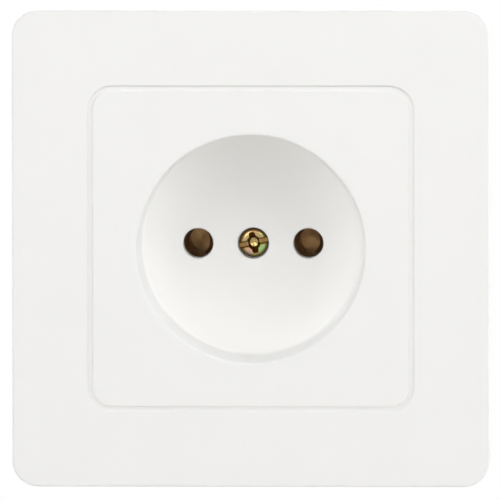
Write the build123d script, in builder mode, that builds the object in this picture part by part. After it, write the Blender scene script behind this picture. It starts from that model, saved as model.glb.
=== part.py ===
from build123d import *
import os
from math import cos, radians, sin, sqrt, tan

# Flush wall socket for two round pins, made to go into a round wall box.
# Millimetres. The wall is the plane y = 0 and the front faces -y, with x to the right and z up.
# A depth is a y value, so it is positive behind the wall and negative in front of it.

# Surround frame
FRAME_SIDE = 82.0
FRAME_CORNER_R = 4.5
FRAME_HEIGHT = 9.0
FRAME_SKIN = 2.0
FRAME_WALL = 1.8
FRAME_EDGE_R = 0.4
REBATE_DEPTH = 0.25
REBATE_EDGE_R = 0.18
SLEEVE_WALL = 1.4
LEDGE_WIDTH = 2.4
LEDGE_THICK = 1.2
LEDGE_ROOM = 0.8
PAD_LENGTH = 6.0
PAD_SPREAD = 36.0
RIB_THICK = 1.0
FRAME_RIB_SPREAD = 28.0
FRAME_RIB_ROOM = 0.6

# Cover plate with its plug cup
PLATE_SIDE = 54.4
PLATE_CORNER_R = 3.4
GROOVE_WIDTH = 0.75
PLATE_PROUD = 0.1
PLATE_SKIN = 2.0
PLATE_EDGE_R = 0.2
LIP_WIDTH = 0.5
LIP_GAP = 0.03
SKIRT_GAP = 0.15
SKIRT_WALL = 1.5
PLATE_RIB_SETBACK = 0.6
CUP_MOUTH_R = 19.6
CUP_DRAFT = 0.3
CUP_DEPTH = 13.9
CUP_WALL = 1.5
CUP_FLOOR = 2.2
CUP_RIM_R = 0.35
CUP_CORNER_R = 0.5
PIN_PITCH = 19.0
PIN_HOLE_R = 2.6
PIN_LENGTH = 19.0
PIN_HOLE_EDGE = 0.15
GUIDE_WALL = 1.2
GUIDE_LENGTH = 1.8
BOSS_R = 4.2
BOSS_FLOOR = 2.0

# Cover screw, its sunk seat in the cup floor and its captive nut
COVER_SCREW_R = 1.5
COVER_SCREW_LENGTH = 12.0
COVER_SCREW_TIP = 1.2
COVER_HEAD_R = 2.55
COVER_HEAD_HEIGHT = 1.8
COVER_HEAD_TURN = 12.5
SCREW_RECESS_R = 2.7
SCREW_RECESS_DEPTH = 3.8
SCREW_HOLE_GAP = 0.15
SLOT_WIDTH = 0.8
SLOT_DEPTH = 0.8
CROSS_SPAN = 3.4
CROSS_DEPTH = 1.2
HEAD_EDGE_R = 0.5
NUT_SIDE = 5.5
NUT_THICK = 1.8
NUT_GAP = 0.05
THREAD_GAP = 0.05

# Support strap and the screws that hold it to the base
STRAP_LAND = 5.0
STRAP_THICK = 1.0
STRAP_CHAMFER = 12.0
STRAP_CLEARANCE = 0.8
FLANGE_HEIGHT = 2.4
FLANGE_SETBACK = 3.0
FLANGE_BEND_R = 0.8
FIXING_PITCH = 60.0
FIXING_SLOT_R = 2.1
FIXING_SLOT_LENGTH = 7.6
STRAP_SCREW_EDGE = 3.6
STRAP_SCREW_R = 1.35
STRAP_SCREW_LENGTH = 8.0
STRAP_HEAD_R = 2.6
STRAP_HEAD_HEIGHT = 1.8

# Insulating base
COLLAR_WALL = 1.55
COLLAR_CORNER_R = 8.0
CUP_CLEARANCE = 0.35
DECK_GAP = 0.4
DECK_THICK = 2.6
BLOCK_WIDTH = 37.2
BLOCK_CORNER_R = 2.0
BASE_EDGE_R = 0.7
TOP_WALL = 3.1
FOOT_HEIGHT = 9.4
WELL_FLOOR = 0.9
BOSS_GAP = 0.4
GUIDE_GAP = 0.3
POCKET_CORNER_R = 0.8
WIRE_ENTRY_SIDE = 5.0
CORE_WALL = 2.0

# Pin contacts, their spring clips and the wire terminals
CONTACT_SHEET = 0.8
LEAF_SHEET = 0.7
LEAF_OFFSET = 0.7
LEAF_THROAT_R = 2.5
LEAF_FLARE = 1.0
LEAF_TAPER = 0.3
LEAF_FLARE_LENGTH = 2.4
LEAF_ARC = 104.0
CONTACT_GAP = 0.3
PIN_END_GAP = 0.6
TAIL_DROP = 4.0
TAIL_SIDE_GAP = 0.5
TAIL_END_GAP = 0.6
CLIP_SHEET = 0.6
CLIP_WIDTH = 2.0
CLIP_SLIT = 1.6
CLIP_SET = 0.7
CLIP_GAP = 0.05
TERMINAL_Z = 11.9
TERMINAL_SCREW_R = 1.75
TERMINAL_SCREW_LENGTH = 5.0
TERMINAL_HEAD_R = 3.2
TERMINAL_HEAD_HEIGHT = 2.2
TERMINAL_COLLAR_WALL = 1.1
TERMINAL_COLLAR_LENGTH = 2.0
TERMINAL_COLLAR_GAP = 0.4
TERMINAL_SCREW_GAP = 0.3
WASHER_THICK = 1.0
WASHER_HOLE_GAP = 0.1
WASHER_SIDE_GAP = 0.3
WASHER_END_GAP = 0.7

# Spreading claws with their screws and nuts
CLAW_SHEET = 1.2
CLAW_WIDTH = 12.0
CLAW_SIDE_GAP = 0.3
CLAW_KNUCKLE_R = 1.9
CLAW_SEAT_GAP = 0.25
CLAW_CHANNEL_DEPTH = 1.6
CLAW_LEAN = 22.0
CLAW_LUG_END = 1.0
CLAW_LUG_WIDTH = 9.0
CLAW_HOLE_R = 2.2
CLAW_FOOT_DEPTH = 13.6
CLAW_FOOT_REACH = 6.9
CLAW_FOOT_BEND_R = 1.6
CLAW_TEETH = 5
CLAW_TOOTH_DEPTH = 1.5
CLAW_TOOTH_FLAT = 0.15
CLAW_SCREW_R = 1.5
CLAW_SCREW_LENGTH = 22.0
CLAW_SCREW_GAP = 0.2
CLAW_SCREW_SIDE_GAP = 0.5
CLAW_HEAD_R = 2.75
CLAW_HEAD_HEIGHT = 2.0
CLAW_NUT_GAP = 0.3

# Depths that follow from the sizes above
PLATE_FRONT = -(FRAME_HEIGHT + PLATE_PROUD)
REBATE_FLOOR = REBATE_DEPTH - FRAME_HEIGHT
LIP_BACK = REBATE_FLOOR - LIP_GAP
STRAP_FRONT = -STRAP_THICK
FLANGE_FRONT = STRAP_FRONT - FLANGE_HEIGHT
LEDGE_END = STRAP_FRONT - CLAW_HEAD_HEIGHT - LEDGE_ROOM
SKIRT_END = LEDGE_END - LEDGE_THICK
SKIN_BACK = -(FRAME_HEIGHT - FRAME_SKIN)
FRAME_RIB_END = FLANGE_FRONT - FRAME_RIB_ROOM
PLATE_RIB_END = SKIRT_END - PLATE_RIB_SETBACK
CUP_FRONT = PLATE_FRONT + CUP_DEPTH
CUP_BACK = CUP_FRONT + CUP_FLOOR
GUIDE_END = CUP_BACK + GUIDE_LENGTH
SCREW_SEAT = CUP_FRONT + SCREW_RECESS_DEPTH
BOSS_END = SCREW_SEAT + BOSS_FLOOR
NUT_DEPTH = SCREW_SEAT + COVER_SCREW_LENGTH - COVER_SCREW_TIP - NUT_THICK
DECK = CUP_BACK + DECK_GAP
COLLAR_END = DECK + DECK_THICK
CONTACT_MOUTH = GUIDE_END + CONTACT_GAP
THROAT = CONTACT_MOUTH + LEAF_FLARE_LENGTH
CONTACT_BACK = CUP_FRONT + PIN_LENGTH + PIN_END_GAP
CONTACT_SEAT = CONTACT_BACK + CONTACT_SHEET
WELL_END = CONTACT_BACK - WASHER_THICK + TERMINAL_SCREW_LENGTH + TERMINAL_SCREW_GAP
BASE_END = WELL_END + WELL_FLOOR

# Widths and heights that follow from the sizes above
REBATE_SIDE = PLATE_SIDE + 2 * GROOVE_WIDTH
REBATE_CORNER_R = PLATE_CORNER_R + GROOVE_WIDTH
SKIRT_SIDE = PLATE_SIDE - 2 * LIP_WIDTH
SKIRT_CORNER_R = PLATE_CORNER_R - LIP_WIDTH
WINDOW_SIDE = SKIRT_SIDE + 2 * SKIRT_GAP
WINDOW_CORNER_R = SKIRT_CORNER_R + SKIRT_GAP
SLEEVE_SIDE = WINDOW_SIDE + 2 * SLEEVE_WALL
CAVITY_SIDE = FRAME_SIDE - 2 * FRAME_WALL
CUP_FLOOR_R = CUP_MOUTH_R - CUP_DRAFT
CUP_OUTER_R = CUP_MOUTH_R + CUP_WALL
COLLAR_BORE_R = CUP_OUTER_R + CUP_CLEARANCE
COLLAR_SIDE = 2 * (COLLAR_BORE_R + COLLAR_WALL)
STRAP_SIDE = FIXING_PITCH + 2 * STRAP_LAND
STRAP_WINDOW_R = CUP_OUTER_R + STRAP_CLEARANCE
STRAP_SCREW_PITCH = COLLAR_SIDE - 2 * COLLAR_CORNER_R + sqrt(2) * (COLLAR_CORNER_R - STRAP_SCREW_EDGE)
POCKET_HALF = PIN_HOLE_R + GUIDE_WALL + GUIDE_GAP
WASHER_SIDE = 2 * (POCKET_HALF - WASHER_SIDE_GAP)
TAIL_HALF = POCKET_HALF - TAIL_SIDE_GAP
TAIL_BOTTOM = -TAIL_DROP
POCKET_BOTTOM = TAIL_BOTTOM - TAIL_END_GAP
POCKET_TOP = TERMINAL_Z + WASHER_SIDE / 2 + WASHER_END_GAP
TAIL_TOP = POCKET_TOP - TAIL_END_GAP
BLOCK_TOP = POCKET_TOP + TOP_WALL
BLOCK_BOTTOM = POCKET_BOTTOM - FOOT_HEIGHT
CLAW_SCREW_X = COLLAR_SIDE / 2 + CLAW_SCREW_R + CLAW_SCREW_SIDE_GAP
CHANNEL_X = BLOCK_WIDTH / 2 - CLAW_CHANNEL_DEPTH
CLAW_SEAT_R = CLAW_KNUCKLE_R + CLAW_SEAT_GAP
CLAW_AXIS_X = CHANNEL_X + CLAW_SEAT_R
CLAW_AXIS_Y = COLLAR_END + CLAW_SEAT_R
CLAW_BEND_R = CLAW_KNUCKLE_R - CLAW_SHEET / 2

SIDES = {"left": -1, "right": 1}

os.makedirs("parts", exist_ok=True)


def facing(depth):
    """Plane parallel to the wall at a depth, seen from the front: x right, y up, extrusions run forward."""
    return Plane.XZ.offset(-depth)


def leaf_outer_r(depth):
    """Outer radius of a contact leaf at a depth behind its throat."""
    run = (depth - THROAT) / (CONTACT_SEAT - THROAT)
    return LEAF_THROAT_R + LEAF_SHEET + LEAF_TAPER * run


# Surround frame: a hollow square moulding whose window sleeve ends in the ledge that the cover clamps
with BuildPart() as frame:
    with BuildSketch(facing(0)):
        RectangleRounded(FRAME_SIDE, FRAME_SIDE, FRAME_CORNER_R)
    extrude(amount=FRAME_HEIGHT)
    with BuildSketch(facing(0)):
        RectangleRounded(CAVITY_SIDE, CAVITY_SIDE, FRAME_CORNER_R - FRAME_WALL)
    extrude(amount=-SKIN_BACK, mode=Mode.SUBTRACT)
    with BuildSketch(facing(LEDGE_END)):
        RectangleRounded(SLEEVE_SIDE, SLEEVE_SIDE, WINDOW_CORNER_R + SLEEVE_WALL)
    extrude(amount=LEDGE_END - SKIN_BACK)
    # Stiffening ribs between the sleeve and the outer wall, two on each side
    with BuildSketch(facing(FRAME_RIB_END)):
        with PolarLocations((CAVITY_SIDE + SLEEVE_SIDE) / 4, 4):
            with GridLocations(0, FRAME_RIB_SPREAD, 1, 2):
                Rectangle((CAVITY_SIDE - SLEEVE_SIDE) / 2, RIB_THICK)
    extrude(amount=FRAME_RIB_END - SKIN_BACK)
    # Pads that seat the ledge on the strap, two on each side
    with BuildSketch(facing(STRAP_FRONT)):
        with PolarLocations(SLEEVE_SIDE / 2 - (SLEEVE_WALL + LEDGE_WIDTH) / 2, 4):
            with GridLocations(0, PAD_SPREAD, 1, 2):
                Rectangle(SLEEVE_WALL + LEDGE_WIDTH, PAD_LENGTH)
    extrude(amount=STRAP_FRONT - LEDGE_END)
    with BuildSketch(facing(SKIRT_END)):
        RectangleRounded(WINDOW_SIDE, WINDOW_SIDE, WINDOW_CORNER_R)
    extrude(amount=FRAME_HEIGHT + SKIRT_END, mode=Mode.SUBTRACT)
    with BuildSketch(facing(0)):
        RectangleRounded(WINDOW_SIDE - 2 * LEDGE_WIDTH, WINDOW_SIDE - 2 * LEDGE_WIDTH, WINDOW_CORNER_R / 2)
    extrude(amount=FRAME_HEIGHT, mode=Mode.SUBTRACT)
    # Shallow rebate around the window, which the cover's lip leaves open as a groove
    with BuildSketch(facing(REBATE_FLOOR)):
        RectangleRounded(REBATE_SIDE, REBATE_SIDE, REBATE_CORNER_R)
    extrude(amount=REBATE_DEPTH, mode=Mode.SUBTRACT)
    frame_face = frame.faces().sort_by(Axis.Y)[0]
    frame_rim = frame_face.outer_wire().edges()
    rebate_rim = frame_face.inner_wires()[0].edges()
    fillet(frame_rim, FRAME_EDGE_R)
    fillet(rebate_rim, REBATE_EDGE_R)
frame.part.label = "frame"
export_step(frame.part, "parts/frame.step")

# Cover plate: a square face with a lip and a skirt, and a round cup with the pin holes and the screw seat
with BuildPart() as cover_plate:
    with BuildSketch(facing(LIP_BACK)):
        RectangleRounded(PLATE_SIDE, PLATE_SIDE, PLATE_CORNER_R)
    extrude(amount=LIP_BACK - PLATE_FRONT)
    fillet(cover_plate.faces().sort_by(Axis.Y)[0].edges(), PLATE_EDGE_R)
    with BuildSketch(facing(SKIRT_END)):
        RectangleRounded(SKIRT_SIDE, SKIRT_SIDE, SKIRT_CORNER_R)
    extrude(amount=SKIRT_END - LIP_BACK)
    hollow_side = SKIRT_SIDE - 2 * SKIRT_WALL
    with BuildSketch(facing(SKIRT_END)):
        RectangleRounded(hollow_side, hollow_side, SKIRT_CORNER_R - SKIRT_WALL)
    extrude(amount=SKIRT_END - PLATE_FRONT - PLATE_SKIN, mode=Mode.SUBTRACT)
    # Ribs from corner to corner behind the face
    rib_reach = sqrt(2) * (SKIRT_SIDE / 2 - SKIRT_CORNER_R) + SKIRT_CORNER_R - SKIRT_WALL / 2
    with BuildSketch(facing(PLATE_RIB_END)):
        with PolarLocations(0, 2, start_angle=45, angular_range=180):
            Rectangle(2 * rib_reach, RIB_THICK)
    extrude(amount=PLATE_RIB_END - PLATE_FRONT - PLATE_SKIN)
    # Outside of the cup, then its hollow
    with BuildSketch(Plane.XY):
        with BuildLine():
            Polyline(
                (0, PLATE_FRONT + PLATE_SKIN / 2),
                (CUP_OUTER_R, PLATE_FRONT + PLATE_SKIN / 2),
                (CUP_OUTER_R - CUP_DRAFT, CUP_BACK),
                (0, CUP_BACK),
                close=True,
            )
        make_face()
    revolve(axis=Axis.Y)
    with BuildSketch(facing(GUIDE_END)):
        with GridLocations(PIN_PITCH, 0, 2, 1):
            Circle(PIN_HOLE_R + GUIDE_WALL)
    extrude(amount=GUIDE_LENGTH)
    with BuildSketch(facing(BOSS_END)):
        Circle(BOSS_R)
    extrude(amount=BOSS_END - CUP_BACK)
    with BuildSketch(Plane.XY):
        with BuildLine():
            Polyline(
                (0, PLATE_FRONT),
                (CUP_MOUTH_R, PLATE_FRONT),
                (CUP_FLOOR_R, CUP_FRONT),
                (0, CUP_FRONT),
                close=True,
            )
        make_face()
    revolve(axis=Axis.Y, mode=Mode.SUBTRACT)
    fillet(cover_plate.faces().sort_by(Axis.Y)[0].inner_wires()[0].edges(), CUP_RIM_R)
    on_cup_floor = (0, CUP_FRONT, CUP_FLOOR_R / 2)
    fillet(cover_plate.faces().sort_by_distance(on_cup_floor)[0].edges(), CUP_CORNER_R)
    with BuildSketch(facing(GUIDE_END)):
        with GridLocations(PIN_PITCH, 0, 2, 1):
            Circle(PIN_HOLE_R)
    extrude(amount=GUIDE_END - CUP_FRONT, mode=Mode.SUBTRACT)
    with BuildSketch(facing(BOSS_END)):
        Circle(COVER_SCREW_R + SCREW_HOLE_GAP)
    extrude(amount=BOSS_FLOOR, mode=Mode.SUBTRACT)
    with BuildSketch(facing(SCREW_SEAT)):
        Circle(SCREW_RECESS_R)
    extrude(amount=SCREW_RECESS_DEPTH, mode=Mode.SUBTRACT)
    cup_floor = cover_plate.faces().sort_by_distance(on_cup_floor)[0]
    chamfer([hole.edges() for hole in cup_floor.inner_wires()], PIN_HOLE_EDGE)
cover_plate.part.label = "cover_plate"
export_step(cover_plate.part, "parts/cover_plate.step")

# Cover screw: a raised head with a slot across a cross recess, sunk below the cup floor
with BuildPart() as cover_screw:
    with BuildSketch(facing(SCREW_SEAT)):
        Circle(COVER_HEAD_R)
    extrude(amount=COVER_HEAD_HEIGHT)
    head_top = cover_screw.faces().sort_by(Axis.Y)[0]
    fillet(head_top.edges(), HEAD_EDGE_R)
    with BuildSketch(facing(SCREW_SEAT - COVER_HEAD_HEIGHT + SLOT_DEPTH)):
        Rectangle(2 * COVER_HEAD_R, SLOT_WIDTH, rotation=COVER_HEAD_TURN)
    extrude(amount=SLOT_DEPTH, mode=Mode.SUBTRACT)
    with BuildSketch(facing(SCREW_SEAT - COVER_HEAD_HEIGHT + CROSS_DEPTH)):
        Rectangle(CROSS_SPAN, SLOT_WIDTH, rotation=COVER_HEAD_TURN)
        Rectangle(SLOT_WIDTH, CROSS_SPAN, rotation=COVER_HEAD_TURN)
    extrude(amount=CROSS_DEPTH, mode=Mode.SUBTRACT)
    with BuildSketch(facing(SCREW_SEAT + COVER_SCREW_LENGTH)):
        Circle(COVER_SCREW_R)
    extrude(amount=COVER_SCREW_LENGTH)
cover_screw.part.label = "cover_screw"
export_step(cover_screw.part, "parts/cover_screw.step")

# Captive square nut that the cover screw pulls on
with BuildPart() as cover_nut:
    with BuildSketch(facing(NUT_DEPTH + NUT_THICK)):
        Rectangle(NUT_SIDE, NUT_SIDE)
        Circle(COVER_SCREW_R + THREAD_GAP, mode=Mode.SUBTRACT)
    extrude(amount=NUT_THICK)
cover_nut.part.label = "cover_nut"
export_step(cover_nut.part, "parts/cover_nut.step")

# Support strap: a steel plate that lies on the wall, with folded side flanges and slots for the box screws
with BuildPart() as support_strap:
    with BuildSketch(facing(0)):
        strap_outline = Rectangle(STRAP_SIDE, STRAP_SIDE)
        chamfer(strap_outline.vertices(), STRAP_CHAMFER)
    extrude(amount=STRAP_THICK)
    flange_length = STRAP_SIDE - 2 * (STRAP_CHAMFER + FLANGE_SETBACK)
    with BuildSketch(facing(STRAP_FRONT)):
        with GridLocations(STRAP_SIDE - STRAP_THICK, 0, 2, 1):
            Rectangle(STRAP_THICK, flange_length)
    extrude(amount=FLANGE_HEIGHT)
    strap_sides = support_strap.faces().filter_by(Axis.X).sort_by(Axis.X)
    fold_edges = [strap_sides[end].edges().sort_by(Axis.Y)[-1] for end in (0, -1)]
    fillet(fold_edges, FLANGE_BEND_R)
    with BuildSketch(facing(0)):
        Circle(STRAP_WINDOW_R)
        with GridLocations(0, FIXING_PITCH, 1, 2):
            SlotOverall(FIXING_SLOT_LENGTH, 2 * FIXING_SLOT_R, rotation=90)
        with GridLocations(2 * CLAW_SCREW_X, 0, 2, 1):
            Circle(CLAW_SCREW_R + CLAW_SCREW_GAP)
        with GridLocations(STRAP_SCREW_PITCH, STRAP_SCREW_PITCH, 2, 2):
            Circle(STRAP_SCREW_R + SCREW_HOLE_GAP)
    extrude(amount=STRAP_THICK, mode=Mode.SUBTRACT)
support_strap.part.label = "support_strap"
export_step(support_strap.part, "parts/support_strap.step")

# Four screws from the strap into the corners of the base
with BuildPart() as strap_screws:
    with BuildSketch(facing(STRAP_FRONT)):
        with GridLocations(STRAP_SCREW_PITCH, STRAP_SCREW_PITCH, 2, 2):
            Circle(STRAP_HEAD_R)
    extrude(amount=STRAP_HEAD_HEIGHT)
    fillet(strap_screws.edges().group_by(Axis.Y)[0], HEAD_EDGE_R)
    with BuildSketch(facing(STRAP_FRONT - STRAP_HEAD_HEIGHT + SLOT_DEPTH)):
        with GridLocations(STRAP_SCREW_PITCH, STRAP_SCREW_PITCH, 2, 2):
            Rectangle(2 * STRAP_HEAD_R, SLOT_WIDTH)
    extrude(amount=SLOT_DEPTH, mode=Mode.SUBTRACT)
    with BuildSketch(facing(STRAP_FRONT + STRAP_SCREW_LENGTH)):
        with GridLocations(STRAP_SCREW_PITCH, STRAP_SCREW_PITCH, 2, 2):
            Circle(STRAP_SCREW_R)
    extrude(amount=STRAP_SCREW_LENGTH)
strap_screws.part.label = "strap_screws"
export_step(strap_screws.part, "parts/strap_screws.step")

# Insulating base: a square collar around the cup, and a deep block with the contact pockets
with BuildPart() as base:
    with BuildSketch(facing(COLLAR_END)):
        RectangleRounded(COLLAR_SIDE, COLLAR_SIDE, COLLAR_CORNER_R)
    extrude(amount=COLLAR_END)
    fillet(base.faces().sort_by(Axis.Y)[-1].edges(), BASE_EDGE_R)
    with BuildSketch(facing(BASE_END)):
        with Locations((0, (BLOCK_TOP + BLOCK_BOTTOM) / 2)):
            RectangleRounded(BLOCK_WIDTH, BLOCK_TOP - BLOCK_BOTTOM, BLOCK_CORNER_R)
    extrude(amount=BASE_END - COLLAR_END)
    fillet(base.faces().sort_by(Axis.Y)[-1].edges(), BASE_EDGE_R)
    with BuildSketch(facing(DECK)):
        Circle(COLLAR_BORE_R)
    extrude(amount=DECK, mode=Mode.SUBTRACT)
    # Contact pockets, open to the front, with a deeper well for each terminal's thread
    with BuildSketch(facing(CONTACT_SEAT)):
        with Locations((0, (POCKET_TOP + POCKET_BOTTOM) / 2)):
            with GridLocations(PIN_PITCH, 0, 2, 1):
                RectangleRounded(2 * POCKET_HALF, POCKET_TOP - POCKET_BOTTOM, POCKET_CORNER_R)
    extrude(amount=CONTACT_SEAT - DECK, mode=Mode.SUBTRACT)
    with BuildSketch(facing(WELL_END)):
        with Locations((0, TERMINAL_Z)):
            with GridLocations(PIN_PITCH, 0, 2, 1):
                Circle(TERMINAL_SCREW_R + TERMINAL_COLLAR_WALL + TERMINAL_COLLAR_GAP)
    extrude(amount=WELL_END - CONTACT_SEAT, mode=Mode.SUBTRACT)
    # Seat of the cover's boss, the screw's way through, and the nut's pocket from behind
    with BuildSketch(facing(BOSS_END + BOSS_GAP)):
        Circle(BOSS_R + BOSS_GAP)
    extrude(amount=BOSS_END + BOSS_GAP - DECK, mode=Mode.SUBTRACT)
    with BuildSketch(facing(NUT_DEPTH)):
        Circle(COVER_SCREW_R + SCREW_HOLE_GAP)
    extrude(amount=NUT_DEPTH - DECK, mode=Mode.SUBTRACT)
    with BuildSketch(facing(BASE_END)):
        Rectangle(NUT_SIDE + 2 * NUT_GAP, NUT_SIDE + 2 * NUT_GAP)
    extrude(amount=BASE_END - NUT_DEPTH, mode=Mode.SUBTRACT)
    # Wire entries through the top wall, level with the terminals
    with BuildSketch(Plane.XY.offset(POCKET_TOP)):
        with Locations((0, CONTACT_BACK - WIRE_ENTRY_SIDE / 2)):
            with GridLocations(PIN_PITCH, 0, 2, 1):
                Rectangle(WIRE_ENTRY_SIDE, WIRE_ENTRY_SIDE)
    extrude(amount=BLOCK_TOP - POCKET_TOP, mode=Mode.SUBTRACT)
    # Cored-out foot below the contacts, open to the back
    core_height = POCKET_BOTTOM - BLOCK_BOTTOM - 2 * CORE_WALL
    core_width = BLOCK_WIDTH / 2 - CLAW_CHANNEL_DEPTH - 2 * CORE_WALL
    with BuildSketch(facing(BASE_END)):
        with Locations((0, (POCKET_BOTTOM + BLOCK_BOTTOM) / 2)):
            with GridLocations(core_width + 2 * CORE_WALL, 0, 2, 1):
                RectangleRounded(core_width, core_height, POCKET_CORNER_R)
    extrude(amount=BASE_END - COLLAR_END - CORE_WALL, mode=Mode.SUBTRACT)
    # Claw channels down both sides, each with a round seat under the collar for the claw's knuckle
    for side in SIDES.values():
        channel_half = CLAW_WIDTH / 2 + CLAW_SIDE_GAP
        with BuildSketch(facing(BASE_END)):
            with Locations((side * (CHANNEL_X + CLAW_CHANNEL_DEPTH / 2), 0)):
                Rectangle(CLAW_CHANNEL_DEPTH, 2 * channel_half)
        extrude(amount=BASE_END - COLLAR_END, mode=Mode.SUBTRACT)
        with BuildSketch(Plane.XY):
            with Locations((side * (CHANNEL_X + CLAW_SEAT_R / 2), COLLAR_END + CLAW_SEAT_R / 2)):
                Rectangle(CLAW_SEAT_R, CLAW_SEAT_R)
            with Locations((side * CLAW_AXIS_X, CLAW_AXIS_Y)):
                Circle(CLAW_SEAT_R, mode=Mode.SUBTRACT)
        extrude(amount=channel_half, both=True)
    with BuildSketch(facing(STRAP_FRONT + STRAP_SCREW_LENGTH)):
        with GridLocations(STRAP_SCREW_PITCH, STRAP_SCREW_PITCH, 2, 2):
            Circle(STRAP_SCREW_R + THREAD_GAP)
    extrude(amount=STRAP_FRONT + STRAP_SCREW_LENGTH, mode=Mode.SUBTRACT)
base.part.label = "base"
export_step(base.part, "parts/base.step")

# Pin contacts: two sprung half-round leaves on a flat tail that carries the terminal's thread
for name, side in SIDES.items():
    pin_x = side * PIN_PITCH / 2
    with BuildPart() as contact:
        with BuildSketch(facing(CONTACT_SEAT)):
            with Locations((pin_x, (TAIL_TOP + TAIL_BOTTOM) / 2)):
                Rectangle(2 * TAIL_HALF, TAIL_TOP - TAIL_BOTTOM)
        extrude(amount=CONTACT_SHEET)
        with BuildSketch(facing(CONTACT_SEAT + TERMINAL_COLLAR_LENGTH)):
            with Locations((pin_x, TERMINAL_Z)):
                Circle(TERMINAL_SCREW_R + TERMINAL_COLLAR_WALL)
        extrude(amount=TERMINAL_COLLAR_LENGTH)
        with BuildSketch(facing(CONTACT_SEAT + TERMINAL_COLLAR_LENGTH)):
            with Locations((pin_x, TERMINAL_Z)):
                Circle(TERMINAL_SCREW_R + THREAD_GAP)
        extrude(amount=TERMINAL_COLLAR_LENGTH + CONTACT_SHEET, mode=Mode.SUBTRACT)
        half_arc = radians(LEAF_ARC / 2)
        for leaf in SIDES.values():
            leaf_axis = Axis((pin_x - leaf * LEAF_OFFSET, 0, 0), (0, 1, 0))
            leaf_plane = Plane(
                origin=leaf_axis.position,
                x_dir=(leaf * cos(half_arc), 0, leaf * sin(half_arc)),
                z_dir=(-leaf * sin(half_arc), 0, leaf * cos(half_arc)),
            )
            with BuildSketch(leaf_plane):
                with BuildLine():
                    Polyline(
                        (LEAF_THROAT_R + LEAF_FLARE, CONTACT_MOUTH),
                        (LEAF_THROAT_R, THROAT),
                        (LEAF_THROAT_R + LEAF_TAPER, CONTACT_SEAT),
                        (LEAF_THROAT_R + LEAF_TAPER + LEAF_SHEET, CONTACT_SEAT),
                        (LEAF_THROAT_R + LEAF_SHEET, THROAT),
                        (LEAF_THROAT_R + LEAF_FLARE + LEAF_SHEET, CONTACT_MOUTH),
                        close=True,
                    )
                make_face()
            revolve(axis=leaf_axis, revolution_arc=LEAF_ARC)
    contact.part.label = f"contact_{name}"
    export_step(contact.part, f"parts/contact_{name}.step")

# Spring clips: a split steel band around the leaves of each contact
for name, side in SIDES.items():
    pin_x = side * PIN_PITCH / 2
    clip_end = THROAT + CLIP_SET + CLIP_WIDTH
    clip_inner_r = leaf_outer_r(clip_end) + CLIP_GAP
    with BuildPart() as contact_spring:
        with BuildSketch(facing(clip_end)):
            with Locations((pin_x - LEAF_OFFSET, 0)):
                Circle(clip_inner_r + CLIP_SHEET)
            with Locations((pin_x + LEAF_OFFSET, 0)):
                Circle(clip_inner_r + CLIP_SHEET, mode=Mode.INTERSECT)
        extrude(amount=CLIP_WIDTH)
        with BuildSketch(facing(clip_end)):
            with Locations((pin_x - LEAF_OFFSET, 0)):
                Circle(clip_inner_r)
            with Locations((pin_x + LEAF_OFFSET, 0)):
                Circle(clip_inner_r, mode=Mode.INTERSECT)
            with Locations((pin_x, clip_inner_r)):
                Rectangle(CLIP_SLIT, clip_inner_r)
        extrude(amount=CLIP_WIDTH, mode=Mode.SUBTRACT)
    contact_spring.part.label = f"contact_spring_{name}"
    export_step(contact_spring.part, f"parts/contact_spring_{name}.step")

# Wire terminals: a square washer on each contact's tail, under a slotted screw
for name, side in SIDES.items():
    terminal = (side * PIN_PITCH / 2, TERMINAL_Z)
    washer_front = CONTACT_BACK - WASHER_THICK
    with BuildPart() as terminal_washer:
        with BuildSketch(facing(CONTACT_BACK)):
            with Locations(terminal):
                RectangleRounded(WASHER_SIDE, WASHER_SIDE, WASHER_THICK)
                Circle(TERMINAL_SCREW_R + WASHER_HOLE_GAP, mode=Mode.SUBTRACT)
        extrude(amount=WASHER_THICK)
    terminal_washer.part.label = f"terminal_washer_{name}"
    export_step(terminal_washer.part, f"parts/terminal_washer_{name}.step")

    with BuildPart() as terminal_screw:
        with BuildSketch(facing(washer_front)):
            with Locations(terminal):
                Circle(TERMINAL_HEAD_R)
        extrude(amount=TERMINAL_HEAD_HEIGHT)
        fillet(terminal_screw.edges().group_by(Axis.Y)[0], HEAD_EDGE_R)
        with BuildSketch(facing(washer_front - TERMINAL_HEAD_HEIGHT + SLOT_DEPTH)):
            with Locations(terminal):
                Rectangle(2 * TERMINAL_HEAD_R, SLOT_WIDTH)
        extrude(amount=SLOT_DEPTH, mode=Mode.SUBTRACT)
        with BuildSketch(facing(washer_front + TERMINAL_SCREW_LENGTH)):
            with Locations(terminal):
                Circle(TERMINAL_SCREW_R)
        extrude(amount=TERMINAL_SCREW_LENGTH)
    terminal_screw.part.label = f"terminal_screw_{name}"
    export_step(terminal_screw.part, f"parts/terminal_screw_{name}.step")

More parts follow.
